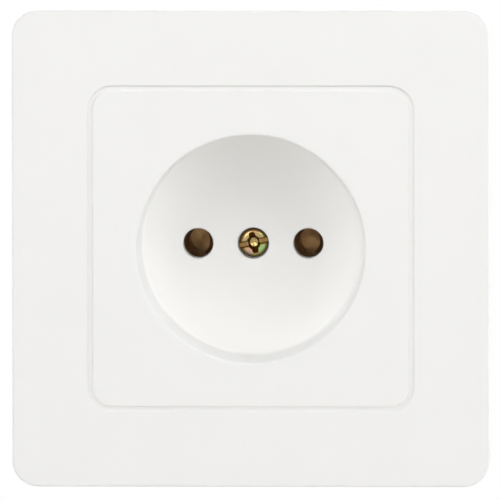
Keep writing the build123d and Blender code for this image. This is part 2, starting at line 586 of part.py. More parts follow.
# Claws: bent steel levers whose knuckles turn in the base's seats, with their screws and nuts
for name, side in SIDES.items():
    lean = radians(CLAW_LEAN)
    claw_axis = Vector(side * CLAW_AXIS_X, CLAW_AXIS_Y)
    along_lug = Vector(side * cos(lean), sin(lean))
    lug_front = Vector(side * sin(lean), -cos(lean))
    lug_root = claw_axis + lug_front * CLAW_BEND_R
    screw_run = CLAW_SCREW_X - CLAW_AXIS_X
    hole_run = (screw_run - CLAW_BEND_R * sin(lean)) / cos(lean)
    hole_centre = lug_root + along_lug * hole_run
    lug_length = hole_run + CLAW_HOLE_R + CLAW_LUG_END
    lug_end = lug_root + along_lug * lug_length
    knuckle_corner = lug_root - along_lug * (CLAW_BEND_R * (1 + sin(lean)) / cos(lean))
    foot_corner = claw_axis + Vector(-side * CLAW_BEND_R, CLAW_FOOT_DEPTH)
    foot_end = claw_axis + Vector(side * CLAW_FOOT_REACH, CLAW_FOOT_DEPTH)
    tooth_pitch = CLAW_WIDTH / CLAW_TEETH
    with BuildPart() as claw:
        with BuildSketch(Plane.XY):
            with BuildLine():
                FilletPolyline(
                    lug_end, knuckle_corner, foot_corner, foot_end, radius=[CLAW_BEND_R, CLAW_FOOT_BEND_R]
                )
            trace(line_width=CLAW_SHEET)
        extrude(amount=CLAW_WIDTH / 2, both=True)
        # The lug is narrower than the leg
        with BuildSketch(facing(CLAW_AXIS_Y + CLAW_FOOT_DEPTH / 2)):
            with Locations((side * (CLAW_AXIS_X + CLAW_KNUCKLE_R + lug_length / 2), 0)):
                with GridLocations(0, (CLAW_WIDTH + CLAW_LUG_WIDTH) / 2, 1, 2):
                    Rectangle(lug_length, (CLAW_WIDTH - CLAW_LUG_WIDTH) / 2)
        extrude(amount=CLAW_FOOT_DEPTH, mode=Mode.SUBTRACT)
        # Teeth along the foot's edge
        with BuildSketch(facing(foot_end.Y + CLAW_SHEET)):
            with Locations((foot_end.X, 0)):
                with GridLocations(0, tooth_pitch, 1, CLAW_TEETH + 1):
                    with BuildLine():
                        Polyline(
                            (0, tooth_pitch / 2 - CLAW_TOOTH_FLAT),
                            (-side * CLAW_TOOTH_DEPTH, 0),
                            (0, CLAW_TOOTH_FLAT - tooth_pitch / 2),
                            close=True,
                        )
                    make_face()
        extrude(amount=2 * CLAW_SHEET, mode=Mode.SUBTRACT)
        with BuildSketch(Plane(origin=hole_centre, x_dir=along_lug, z_dir=lug_front)):
            Circle(CLAW_HOLE_R)
        extrude(amount=CLAW_SHEET, both=True, mode=Mode.SUBTRACT)
    claw.part.label = f"claw_{name}"
    export_step(claw.part, f"parts/claw_{name}.step")

    with BuildPart() as claw_screw:
        with BuildSketch(facing(STRAP_FRONT)):
            with Locations((side * CLAW_SCREW_X, 0)):
                Circle(CLAW_HEAD_R)
        extrude(amount=CLAW_HEAD_HEIGHT)
        fillet(claw_screw.edges().group_by(Axis.Y)[0], HEAD_EDGE_R)
        with BuildSketch(facing(STRAP_FRONT - CLAW_HEAD_HEIGHT + SLOT_DEPTH)):
            with Locations((side * CLAW_SCREW_X, 0)):
                Rectangle(SLOT_WIDTH, 2 * CLAW_HEAD_R)
        extrude(amount=SLOT_DEPTH, mode=Mode.SUBTRACT)
        with BuildSketch(facing(STRAP_FRONT + CLAW_SCREW_LENGTH)):
            with Locations((side * CLAW_SCREW_X, 0)):
                Circle(CLAW_SCREW_R)
        extrude(amount=CLAW_SCREW_LENGTH)
    claw_screw.part.label = f"claw_screw_{name}"
    export_step(claw_screw.part, f"parts/claw_screw_{name}.step")

    # The nut stands just behind the lug of the parked claw
    lug_back = (CLAW_BEND_R - CLAW_SHEET / 2) / cos(lean)
    nut_front = CLAW_AXIS_Y + (screw_run + NUT_SIDE / 2) * tan(lean) - lug_back + CLAW_NUT_GAP
    with BuildPart() as claw_nut:
        with BuildSketch(facing(nut_front + NUT_THICK)):
            with Locations((side * CLAW_SCREW_X, 0)):
                Rectangle(NUT_SIDE, NUT_SIDE)
                Circle(CLAW_SCREW_R + THREAD_GAP, mode=Mode.SUBTRACT)
        extrude(amount=NUT_THICK)
    claw_nut.part.label = f"claw_nut_{name}"
    export_step(claw_nut.part, f"parts/claw_nut_{name}.step")
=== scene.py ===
"""Looks of a flush wall socket: finishes, threaded screws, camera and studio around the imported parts.

Lengths are metres in the part's own frame: +Z is up, the front faces -Y and the wall is the plane y = 0.
"""
import logging
import math
from dataclasses import dataclass
from enum import Enum
from typing import Any, Mapping, Sequence

import bpy
import numpy as np
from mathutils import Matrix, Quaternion, Vector


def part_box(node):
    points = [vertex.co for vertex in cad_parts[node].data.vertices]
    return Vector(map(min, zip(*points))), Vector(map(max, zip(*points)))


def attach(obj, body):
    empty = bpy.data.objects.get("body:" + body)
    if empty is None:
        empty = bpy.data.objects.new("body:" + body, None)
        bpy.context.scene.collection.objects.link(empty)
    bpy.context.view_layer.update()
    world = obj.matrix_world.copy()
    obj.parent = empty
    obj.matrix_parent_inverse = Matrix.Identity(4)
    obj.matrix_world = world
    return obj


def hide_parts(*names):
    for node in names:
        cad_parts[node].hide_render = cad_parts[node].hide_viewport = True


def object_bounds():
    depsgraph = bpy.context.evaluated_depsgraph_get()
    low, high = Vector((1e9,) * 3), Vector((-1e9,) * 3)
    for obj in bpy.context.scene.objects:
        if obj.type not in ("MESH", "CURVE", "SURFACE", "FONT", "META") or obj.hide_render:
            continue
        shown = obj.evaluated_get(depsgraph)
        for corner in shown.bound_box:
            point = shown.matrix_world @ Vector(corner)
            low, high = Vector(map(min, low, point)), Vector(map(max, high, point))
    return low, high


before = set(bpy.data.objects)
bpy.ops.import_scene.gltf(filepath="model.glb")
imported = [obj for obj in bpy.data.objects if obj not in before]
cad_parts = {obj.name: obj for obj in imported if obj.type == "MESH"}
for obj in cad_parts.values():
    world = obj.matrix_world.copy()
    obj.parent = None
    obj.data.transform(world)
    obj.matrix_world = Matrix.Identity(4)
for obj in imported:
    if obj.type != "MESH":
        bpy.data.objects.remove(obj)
CAD_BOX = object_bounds()
LOG = logging.getLogger("flush_wall_socket")
MM = 0.001
SOCKET_BODY = "socket"
# Attribute of painted shade on a screw: how far its film is darkened to brown, standing in for the shade in
# its recess and on its steep walls
PAINTED_SHADE = "painted_shade"
# Degrees from which an edge of a screw is shaded as a corner
SHARP_ANGLE = 32.0
# Rays that a softened edge takes
BEVEL_SAMPLES = 6
# Numbers of a Mix node's two colour inputs and of its colour output
MIX_COLOURS = (6, 7)
MIX_RESULT = 2
Pair = tuple[float, float]
Triple = tuple[float, float, float]
Colour = Triple
# Colours of the studio's light
WHITE: Colour = (1.0, 1.0, 1.0)
WARM: Colour = (1.04, 0.99, 0.91)
COOL: Colour = (0.987, 1.005, 1.033)


class Side(Enum):
    """The two mirrored halves of the socket, with the sign of their x."""

    LEFT = -1
    RIGHT = 1

    @property
    def word(self) -> str:
        """The side's word as the node names spell it."""
        return self.name.lower()


class Slot(Enum):
    """Material slots of the record."""

    WHITE_PLASTIC = "white_plastic"
    BASE_PLASTIC = "base_plastic"
    ZINC_STEEL = "zinc_steel"
    YELLOW_ZINC = "yellow_zinc_steel"
    BRASS = "contact_brass"
    SPRING_STEEL = "spring_steel"


class Drive(Enum):
    """What a screwdriver finds in a screw's head."""

    SLOT = "slot"
    COMBINATION = "slot over cross"


# Shader expressions


class Signal:
    """An output of a node tree, which Python operators turn into Math nodes."""

    def __init__(self, sheet: "NodeSheet", socket: bpy.types.NodeSocket) -> None:
        """Wrap one socket.

        Args:
            sheet: the node tree that the socket belongs to.
            socket: the output that the signal reads.
        """
        self.sheet = sheet
        self.socket = socket

    def _math(self, operation: str, first: "Signal | float", second: "Signal | float" = 0.0) -> "Signal":
        """Add one Math node.

        Args:
            operation: the Math node's operation.
            first: its first value.
            second: its second value.

        Returns:
            The node's result.
        """
        return self.sheet.node("ShaderNodeMath", {"operation": operation}, {0: first, 1: second})

    def __add__(self, other: "Signal | float") -> "Signal":
        """This signal plus another."""
        return self._math("ADD", self, other)

    def __radd__(self, other: "Signal | float") -> "Signal":
        """A number plus this signal."""
        return self._math("ADD", other, self)

    def __sub__(self, other: "Signal | float") -> "Signal":
        """This signal less another."""
        return self._math("SUBTRACT", self, other)

    def __rsub__(self, other: "Signal | float") -> "Signal":
        """A number less this signal."""
        return self._math("SUBTRACT", other, self)

    def __mul__(self, other: "Signal | float") -> "Signal":
        """This signal times another."""
        return self._math("MULTIPLY", self, other)

    def __rmul__(self, other: "Signal | float") -> "Signal":
        """A number times this signal."""
        return self._math("MULTIPLY", other, self)

    def larger(self, other: "Signal | float") -> "Signal":
        """The larger of this signal and another."""
        return self._math("MAXIMUM", self, other)

    def centred(self) -> "Signal":
        """This signal of 0 to 1, moved to lie around 0."""
        return self - 0.5

    def between(self, low: float, high: float) -> "Signal":
        """Spread the signal smoothly from 0 at one value to 1 at another.

        Args:
            low: the value that becomes 0.
            high: the value that becomes 1.

        Returns:
            The spread signal.
        """
        inputs = {"Value": self, "From Min": low, "From Max": high}
        return self.sheet.node("ShaderNodeMapRange", {"interpolation_type": "SMOOTHSTEP"}, inputs)


class NodeSheet:
    """A node tree under construction."""

    def __init__(self, tree: bpy.types.NodeTree) -> None:
        """Empty a node tree and hold it.

        Args:
            tree: the tree of a material or a world.
        """
        self.tree = tree
        self.tree.nodes.clear()

    def node(
        self,
        kind: str,
        settings: Mapping[str, Any] | None = None,
        inputs: Mapping[str | int, Any] | None = None,
        output: str | int = 0,
    ) -> Signal:
        """Add a node of any kind.

        Args:
            kind: the node's type name.
            settings: its properties, set first; "stops" are a colour ramp's positions and colours.
            inputs: a value or a Signal for each named or numbered socket.
            output: the output to return.

        Returns:
            The chosen output, or the node's only input where it has no output.
        """
        made = self.tree.nodes.new(kind)
        for name, value in (settings or {}).items():
            if name == "stops":
                self._set_stops(made.color_ramp, value)
            else:
                setattr(made, name, value)
        for name, value in (inputs or {}).items():
            if isinstance(value, Signal):
                self.tree.links.new(value.socket, made.inputs[name])
            else:
                made.inputs[name].default_value = value
        return Signal(self, made.outputs[output] if len(made.outputs) else made.inputs[0])

    @staticmethod
    def _set_stops(ramp: bpy.types.ColorRamp, stops: Sequence[tuple[float, Colour]]) -> None:
        """Set a colour ramp's stops.

        Args:
            ramp: the ramp of a new node, which has two stops.
            stops: positions from 0 to 1, with their colours.
        """
        while len(ramp.elements) < len(stops):
            ramp.elements.new(1.0)
        for element, (position, colour) in zip(ramp.elements, stops):
            element.position = position
            element.color = (*colour, 1.0)

    def place(self) -> Signal:
        """The point on the piece, in metres in the part's own frame."""
        return self.node("ShaderNodeTexCoord", output="Object")

    def stretched(self, point: Signal, scale: Triple) -> Signal:
        """Scale a point along the axes, so that a pattern on it is drawn out.

        Args:
            point: the point to scale.
            scale: the factor along each axis.

        Returns:
            The scaled point.
        """
        return self.node("ShaderNodeMapping", None, {"Vector": point, "Scale": scale})

    def cloud(self, point: Signal, grain: float, detail: float = 3.0, roughness: float = 0.55) -> Signal:
        """Soft random cloud from 0 to 1.

        Args:
            point: where the cloud is read.
            grain: the usual size of its patches, in metres.
            detail: how many finer octaves are added.
            roughness: how strong those octaves are.

        Returns:
            The cloud's value.
        """
        inputs = {"Vector": point, "Scale": 1.0 / grain, "Detail": detail, "Roughness": roughness}
        return self.node("ShaderNodeTexNoise", None, inputs)

    def bands(self, point: Signal, spacing: float, along: Triple) -> Signal:
        """Soft bands, a sine wave from 0 to 1 of the distance along a direction.

        Args:
            point: where the bands are read.
            spacing: the distance from one band to the next, in metres.
            along: the direction, of length 1, in which the bands follow each other.

        Returns:
            The bands' value, which rises through the middle at the origin.
        """
        settings = {"operation": "DOT_PRODUCT"}
        run = self.node("ShaderNodeVectorMath", settings, {0: point, 1: along}, output="Value")
        wave = self.node("ShaderNodeMath", {"operation": "SINE"}, {0: run * (2 * math.pi / spacing)})
        return wave * 0.5 + 0.5

    def blend(self, share: Signal | float, first: Any, second: Any) -> Signal:
        """Mix two colours.

        Args:
            share: how much of the second colour there is, from 0 to 1.
            first: a colour or a colour Signal.
            second: a colour or a colour Signal.

        Returns:
            The mixed colour.
        """
        settings = {"data_type": "RGBA", "clamp_factor": True}
        colours = [c if isinstance(c, Signal) else (*c, 1.0) for c in (first, second)]
        inputs = {0: share, **dict(zip(MIX_COLOURS, colours))}
        return self.node("ShaderNodeMix", settings, inputs, output=MIX_RESULT)

    def ramp(self, value: Signal, stops: Sequence[tuple[float, Colour]]) -> Signal:
        """Turn a value from 0 to 1 into a colour.

        Args:
            value: the value to look up.
            stops: positions from 0 to 1, with their colours.

        Returns:
            The colour.
        """
        return self.node("ShaderNodeValToRGB", {"stops": stops}, {"Fac": value})

    def relief(self, height: Signal, depth: float, rounded: float = 0.0) -> Signal:
        """Turn a height from 0 to 1 into a surface normal.

        Args:
            height: the height over the surface.
            depth: what a height of 1 stands for, in metres.
            rounded: the radius that sharp edges seem to have, in metres.

        Returns:
            The normal.
        """
        inputs: dict[str | int, Any] = {"Strength": 1.0, "Distance": depth, "Height": height}
        if rounded:
            inputs["Normal"] = self.node("ShaderNodeBevel", {"samples": BEVEL_SAMPLES}, {"Radius": rounded})
        return self.node("ShaderNodeBump", None, inputs)


# Finishes


@dataclass(frozen=True)
class Finish:
    """A surface finish, made into one material and shared by every piece that has it."""

    slot: Slot

    def material(self) -> bpy.types.Material:
        """Build the finish's material.

        Returns:
            The new material, named for the finish's slot.
        """
        made = bpy.data.materials.new(self.slot.value)
        made.use_nodes = True
        sheet = NodeSheet(made.node_tree)
        surface = sheet.node("ShaderNodeBsdfPrincipled", None, self.sockets(sheet))
        sheet.node("ShaderNodeOutputMaterial", None, {"Surface": surface})
        return made

    def sockets(self, sheet: NodeSheet) -> dict[str | int, Any]:
        """What goes into the surface shader.

        Args:
            sheet: the material's node tree.

        Returns:
            A value or a Signal for each named socket.
        """
        raise NotImplementedError


@dataclass(frozen=True)
class MouldedPlastic(Finish):
    """Moulded plastic with a fine mould texture and a faint unevenness of shade."""

    colour: Colour
    shade: Colour
    roughness: float
    roughness_spread: float
    patch: float = 9 * MM
    patch_spread: Pair = (0.3, 0.75)
    ripple: float = 2.2 * MM
    ripple_depth: float = 0.0012 * MM
    grain: float = 0.11 * MM
    grain_depth: float = 0.0016 * MM
    speck: Colour | None = None
    speck_size: float = 0.35 * MM
    speck_spread: Pair = (0.64, 0.72)
    ior: float = 1.5
    edge: float = 0.0

    def sockets(self, sheet: NodeSheet) -> dict[str | int, Any]:
        """Mottled colour, uneven gloss, and a relief of slow ripples under fine grain.

        Args:
            sheet: the material's node tree.

        Returns:
            A value or a Signal for each named socket.
        """
        point = sheet.place()
        patches = sheet.cloud(point, self.patch)
        ripples = sheet.cloud(point, self.ripple, detail=1.0)
        grain = sheet.cloud(point, self.grain, detail=2.0, roughness=0.6)
        colour = sheet.blend(patches.between(*self.patch_spread), self.colour, self.shade)
        if self.speck is not None:
            specks = sheet.cloud(point, self.speck_size, detail=1.0)
            colour = sheet.blend(specks.between(*self.speck_spread), colour, self.speck)
        depth = self.ripple_depth + self.grain_depth
        height = ripples * (self.ripple_depth / depth) + grain * (self.grain_depth / depth)
        return {
            "Base Color": colour,
            "Roughness": self.roughness + grain.centred() * self.roughness_spread,
            "Normal": sheet.relief(height, depth, self.edge),
            "IOR": self.ior,
        }


@dataclass(frozen=True)
class PlatedSteel(Finish):
    """Sheet steel or a turned screw under a bright zinc coat, with rolling lines and dull patches."""

    colour: Colour
    shade: Colour
    roughness: float = 0.3
    dullness: float = 0.16
    patch: float = 1.6 * MM
    patch_spread: Pair = (0.34, 0.68)
    drawn: Triple = (1.0, 1.0, 14.0)
    line: float = 0.9 * MM
    line_depth: float = 0.0035 * MM
    edge: float = 0.14 * MM

    def sockets(self, sheet: NodeSheet) -> dict[str | int, Any]:
        """Two greys in patches, duller in the dark ones, with fine lines drawn along the sheet.

        Args:
            sheet: the material's node tree.

        Returns:
            A value or a Signal for each named socket.
        """
        point = sheet.place()
        patches = sheet.cloud(point, self.patch, detail=4.0).between(*self.patch_spread)
        lines = sheet.cloud(sheet.stretched(point, self.drawn), self.line, detail=4.0, roughness=0.7)
        return {
            "Base Color": sheet.blend(patches, self.colour, self.shade),
            "Metallic": 1.0,
            "Roughness": self.roughness + patches * self.dullness + lines.centred() * self.dullness,
            "Normal": sheet.relief(lines, self.line_depth, self.edge),
        }


@dataclass(frozen=True)
class YellowZinc(Finish):
    """Yellow passivated zinc: a gold film whose thickness wanders, so that it turns green and pink."""

    thick: tuple[tuple[float, Colour], ...]
    thin: tuple[tuple[float, Colour], ...]
    # Dark brown of the painted shade on recess floors and steep walls
    painted_shade_colour: Colour
    band: float = 6.4 * MM
    thick_way: Triple = (0.45, 0.0, -0.893)
    thin_way: Triple = (-0.4, 0.0, -0.917)
    thin_spread: Pair = (0.87, 1.0)
    wander: float = 0.18
    patch: float = 1.1 * MM
    patch_spread: Pair = (0.3, 0.7)
    fine: float = 0.16 * MM
    roughness: float = 0.12
    dullness: float = 0.12
    pit_depth: float = 0.003 * MM
    edge: float = 0.06 * MM
    varnish: float = 0.5

    def sockets(self, sheet: NodeSheet) -> dict[str | int, Any]:
        """Film colours in soft bands that wander, a thinner film across them, and painted shade that turns
        creases and recess floors dark brown.

        Args:
            sheet: the material's node tree.

        Returns:
            A value or a Signal for each named socket.
        """
        point = sheet.place()
        cloud = sheet.cloud(point, self.patch, detail=1.0).between(*self.patch_spread)
        pits = sheet.cloud(point, self.fine, detail=2.0)
        drift = cloud.centred() * self.wander
        thick = sheet.ramp(sheet.bands(point, self.band, self.thick_way) + drift, self.thick)
        thin = sheet.ramp(cloud, self.thin)
        share = (sheet.bands(point, self.band, self.thin_way) - drift).between(*self.thin_spread)
        film = sheet.blend(share, thick, thin)
        # Painted shade read from the screw's attribute: 1 turns the film dark brown
        brown = sheet.node("ShaderNodeAttribute", {"attribute_name": PAINTED_SHADE}, output="Fac")
        return {
            "Base Color": sheet.blend(brown, film, self.painted_shade_colour),
            "Metallic": 1.0,
            "Roughness": self.roughness + pits * self.dullness,
            # The painted shade also takes the varnish off, so shaded places show no coat
            "Coat Weight": (1.0 - brown) * self.varnish,
            "Coat Roughness": self.roughness,
            "Normal": sheet.relief(pits, self.pit_depth, self.edge),
        }


@dataclass(frozen=True)
class Brass(Finish):
    """Rolled brass, browned in patches where it has been handled and heated."""

    colour: Colour
    tarnish: Colour
    patch: float = 2.4 * MM
    patch_spread: Pair = (0.36, 0.7)
    drawn: Triple = (9.0, 1.0, 9.0)
    line: float = 1.2 * MM
    line_depth: float = 0.003 * MM
    roughness: float = 0.34
    dullness: float = 0.18
    metal: float = 0.82
    edge: float = 0.08 * MM

    def sockets(self, sheet: NodeSheet) -> dict[str | int, Any]:
        """Dull brass under brown patches, with lines along the drawing direction.

        Args:
            sheet: the material's node tree.

        Returns:
            A value or a Signal for each named socket.
        """
        point = sheet.place()
        brown = sheet.cloud(point, self.patch, detail=4.0).between(*self.patch_spread)
        lines = sheet.cloud(sheet.stretched(point, self.drawn), self.line, detail=3.0, roughness=0.65)
        return {
            "Base Color": sheet.blend(brown, self.colour, self.tarnish),
            "Metallic": self.metal,
            "Roughness": self.roughness + brown * self.dullness + lines.centred() * self.dullness,
            "Normal": sheet.relief(lines, self.line_depth, self.edge),
        }


FINISHES: tuple[Finish, ...] = (
    MouldedPlastic(
        slot=Slot.WHITE_PLASTIC,
        colour=(0.940, 0.941, 0.936),
        shade=(0.930, 0.931, 0.926),
        roughness=0.44,
        roughness_spread=0.10,
        edge=0.4 * MM,
    ),
    MouldedPlastic(
        slot=Slot.BASE_PLASTIC,
        colour=(0.60, 0.605, 0.59),
        shade=(0.54, 0.545, 0.535),
        roughness=0.58,
        roughness_spread=0.18,
        grain_depth=0.006 * MM,
        speck=(0.72, 0.72, 0.70),
        edge=0.22 * MM,
    ),
    PlatedSteel(slot=Slot.ZINC_STEEL, colour=(0.66, 0.67, 0.69), shade=(0.50, 0.515, 0.54)),
    YellowZinc(
        slot=Slot.YELLOW_ZINC,
        thick=(
            (0.03, (0.48, 0.32, 0.14)),
            (0.24, (0.36, 0.32, 0.12)),
            (0.48, (0.52, 0.36, 0.14)),
            (0.76, (0.42, 0.36, 0.12)),
            (0.98, (0.33, 0.50, 0.18)),
        ),
        thin=((0.25, (0.55, 0.34, 0.25)), (0.75, (0.60, 0.34, 0.13))),
        # Dark brown of the painted shade in the screws' recesses and on steep walls
        painted_shade_colour=(0.20, 0.10, 0.03),
    ),
    Brass(slot=Slot.BRASS, colour=(0.53, 0.325, 0.15), tarnish=(0.44, 0.265, 0.122)),
    PlatedSteel(
        slot=Slot.SPRING_STEEL,
        colour=(0.30, 0.31, 0.34),
        shade=(0.20, 0.21, 0.25),
        roughness=0.34,
        edge=0.08 * MM,
    ),
)


class Wardrobe:
    """The finished materials, by slot."""

    def __init__(self, finishes: Sequence[Finish]) -> None:
        """Build every material once.

        Args:
            finishes: one finish for each slot of the record.
        """
        self.materials = {finish.slot: finish.material() for finish in finishes}

    def dress_node(self, node: str, slot: Slot) -> None:
        """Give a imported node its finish.

        Args:
            node: the node's name.
            slot: the slot of its finish.
        """
        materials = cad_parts[node].data.materials
        materials.clear()
        materials.append(self.materials[slot])
        LOG.info("%s keeps its shape and takes %s", node, slot.value)

    def dress_piece(self, piece: bpy.types.Object, slot: Slot, body: str, node: str) -> None:
        """Finish a new piece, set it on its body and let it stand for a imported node.

        Args:
            piece: the new piece, in place.
            slot: the slot of its finish.
            body: the body that it moves with.
            node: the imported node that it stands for.
        """
        piece.data.materials.append(self.materials[slot])
        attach(piece, body)
        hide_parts(node)
        LOG.info("%s stands for %s, with %d faces", piece.name, node, len(piece.data.polygons))


# Meshes


@dataclass
class Surface:
    """A closed surface of a screw.

    Attributes:
        points: its points, a row each.
        faces: arrays of faces, each face a row of point numbers.
        painted_shade: painted shade at each point, how far a yellow film is darkened to brown, from 0 to 1.
    """

    points: np.ndarray
    faces: list[np.ndarray]
    painted_shade: np.ndarray

    @staticmethod
    def joined(surfaces: Sequence["Surface"]) -> "Surface":
        """Put several surfaces into one, each keeping its own points.

        Args:
            surfaces: the surfaces to join.

        Returns:
            The joined surface.
        """
        starts = np.cumsum([0] + [len(s.points) for s in surfaces])
        faces = [rows + start for s, start in zip(surfaces, starts) for rows in s.faces]
        points = np.concatenate([s.points for s in surfaces])
        return Surface(points, faces, np.concatenate([s.painted_shade for s in surfaces]))

    def volume(self) -> float:
        """Enclosed volume, negative where the faces point inwards.

        Six times the volume of the tetrahedron from the origin to each triangle is a triple product.

        Returns:
            The volume.
        """
        fans = [rows[:, [0, k, k + 1]] for rows in self.faces for k in range(1, rows.shape[1] - 1)]
        a, b, c = np.moveaxis(self.points[np.concatenate(fans)], 1, 0)
        return float(np.einsum("ij,ij->", a, np.cross(b, c))) / 6

    def piece(self, name: str) -> bpy.types.Object:
        """Make the surface a mesh object whose faces point outwards, with the painted shade on its points.

        Edges from SHARP_ANGLE on, in degrees, are shaded as corners.

        Args:
            name: the object's name.

        Returns:
            The object, linked to the scene.
        """
        turned = self.faces if self.volume() > 0 else [rows[:, ::-1] for rows in self.faces]
        mesh = bpy.data.meshes.new(name)
        mesh.from_pydata(self.points.tolist(), [], [face for rows in turned for face in rows.tolist()])
        mesh.shade_smooth()
        mesh.set_sharp_from_angle(angle=math.radians(SHARP_ANGLE))
        mesh.attributes.new(PAINTED_SHADE, "FLOAT", "POINT").data.foreach_set("value", self.painted_shade)
        made = bpy.data.objects.new(name, mesh)
        bpy.context.scene.collection.objects.link(made)
        return made


@dataclass(frozen=True)
class ScrewShape:
    """A machine screw that faces the front, with its recess and its thread.

    Attributes:
        rows: plain lines of the head's grid, before those at the recess edges.
        arm_end: depth of the cross's arms at their ends, as a share of the cross's depth.
        well_cone: how much deeper the well is on the axis than at the foot of its wall.
        dome: how far the crown falls to the edge.
        edge_power: power of the superellipse that rounds the head's edge.
        wall: half the width over which a recess wall goes down.
        line_room: how far the plain lines stay from those at a recess edge, in walls.
        slope_reach: how far the points for a slope lie from its place, in walls.
        steep_slope: the slope from which the film is fully darkened by painted shade.
        slot_painted_shade: how dark the painted shade on the floor of the slot is.
        well_painted_shade: how dark the painted shade on the floor of the well is.
        turn_steps: rings of points in one turn of the thread.
        thread_depth: depth of the thread, as a share of its pitch.
        flank_slope: steepness of the thread's flanks against a plain triangle wave.
        root_flat: how much of the wave the flat root of the thread cuts off.
        tip_taper: how much the shank narrows at the tip, as a share.
    """

    head_r: float
    head_height: float
    shank_r: float
    length: float
    pitch: float
    drive: Drive
    rows: int
    slot_width: float = 0.9 * MM
    slot_depth: float = 0.8 * MM
    cross_span: float = 3.5 * MM
    cross_width: float = 1.0 * MM
    cross_depth: float = 1.5 * MM
    arm_end: float = 0.2
    well_r: float = 1.18 * MM
    well_floor_r: float = 0.8 * MM
    well_cone: float = 0.14 * MM
    dome: float = 0.1 * MM
    edge_power: float = 8.0
    wall: float = 0.08 * MM
    line_room: float = 1.3
    slope_reach: float = 1.5
    steep_slope: float = 1.2
    # How dark the painted shade makes the floors of the slot and the well
    slot_painted_shade: float = 0.75
    well_painted_shade: float = 0.3
    turn_steps: int = 6
    thread_depth: float = 0.6
    flank_slope: float = 1.5
    root_flat: float = 0.25
    tip_taper: float = 0.12

    def _lines(self, edges: Sequence[float]) -> np.ndarray:
        """Grid lines from -1 to 1, with two close lines at each recess edge.

        A plain line lies at the sine of each of evenly spaced angles, so that the lines crowd where the
        head rounds off.

        Args:
            edges: recess edges as shares of the head's radius.

        Returns:
            The lines in rising order.
        """
        plain = np.sin(np.linspace(-0.5, 0.5, self.rows) * np.pi)
        close = self.wall / self.head_r
        pairs = np.array([s * e + d for e in edges for s in (-1, 1) for d in (-close, close)])
        clear = np.abs(plain[:, None] - pairs[None, :]).min(axis=1) > self.line_room * close
        return np.unique(np.concatenate([plain[clear], pairs]))

    def _grid(self) -> tuple[np.ndarray, np.ndarray]:
        """Points of the head's grid, seen along the axis.

        Each row of the grid is a chord of the head, and its points lie at the same shares of every chord.

        Returns:
            Distances from the axis along the slot and across it, by row and column.
        """
        slot_edge = self.slot_width / 2 / self.head_r
        column_edges, row_edges = [slot_edge], [slot_edge]
        if self.drive is Drive.COMBINATION:
            reach_edge = self.cross_span / 2 / self.head_r
            column_edges = [self.cross_width / 2 / self.head_r, reach_edge]
            row_edges = [slot_edge, reach_edge]
        share, up = np.meshgrid(self._lines(column_edges), self._lines(row_edges)[1:-1] * self.head_r)
        return share * np.sqrt(self.head_r**2 - up**2), up

    def _head(self, along: np.ndarray, up: np.ndarray) -> np.ndarray:
        """Height of the head over its seat.

        The crown falls with the square of the distance from the axis, and a superellipse rounds its
        edge. The slot lowers it to a level floor. The cross has a round well with a conical wall and a
        hollow floor, and two arms across the slot whose floors rise outwards.

        Args:
            along: distance from the axis along the slot.
            up: distance from the axis across the slot.

        Returns:
            The height at each point.
        """
        radial = np.hypot(along, up)
        share = np.clip(radial / self.head_r, 0, 1)
        edge = (1 - share**self.edge_power) ** (1 / self.edge_power)
        height = (self.head_height - self.dome * share**2) * edge
        in_slot = np.abs(up) < self.slot_width / 2
        height = np.where(in_slot, np.minimum(height, self.head_height - self.slot_depth), height)
        if self.drive is Drive.COMBINATION:
            reach = self.cross_span / 2
            wall = np.clip((self.well_r - radial) / (self.well_r - self.well_floor_r), 0, 1)
            hollow = np.clip(1 - radial / self.well_floor_r, 0, 1)
            well = self.head_height - self.cross_depth * wall - self.well_cone * hollow
            run = np.clip((radial - self.well_floor_r) / (reach - self.well_floor_r), 0, 1)
            arm = self.head_height - self.cross_depth * (1 - (1 - self.arm_end) * run)
            chord = np.sqrt(np.clip(1 - (up / self.head_r) ** 2, 0, 1))
            upright = (np.abs(along) < self.cross_width / 2 * chord) & (np.abs(up) < reach)
            height = np.minimum(height, np.where(upright, arm, self.head_height))
            height = np.where(radial < self.well_r, np.minimum(height, well), height)
        return height

    def _painted_shade(self, along: np.ndarray, up: np.ndarray) -> np.ndarray:
        """Painted shade: how far the film is darkened to brown, fully on steep walls and in part on the
        floors of the recess.

        The slope is the rise between points on both sides over their distance, taken along the slot and
        across it and put together as the sides of a right angle.

        Args:
            along: distance from the axis along the slot.
            up: distance from the axis across the slot.

        Returns:
            0 on the crown, 1 on a steep wall and a share in between on a recess floor.
        """
        reach = self.slope_reach * self.wall
        ways = ((reach, 0.0), (0.0, reach))
        rises = [self._head(along + a, up + u) - self._head(along - a, up - u) for a, u in ways]
        steep = np.clip(np.hypot(*rises) / (2 * reach * self.steep_slope), 0, 1)
        in_well = (np.hypot(along, up) < self.well_r) & (self.drive is Drive.COMBINATION)
        in_slot = np.abs(up) < self.slot_width / 2
        floor = np.where(in_well, self.well_painted_shade, np.where(in_slot, self.slot_painted_shade, 0.0))
        return np.maximum(steep, floor)

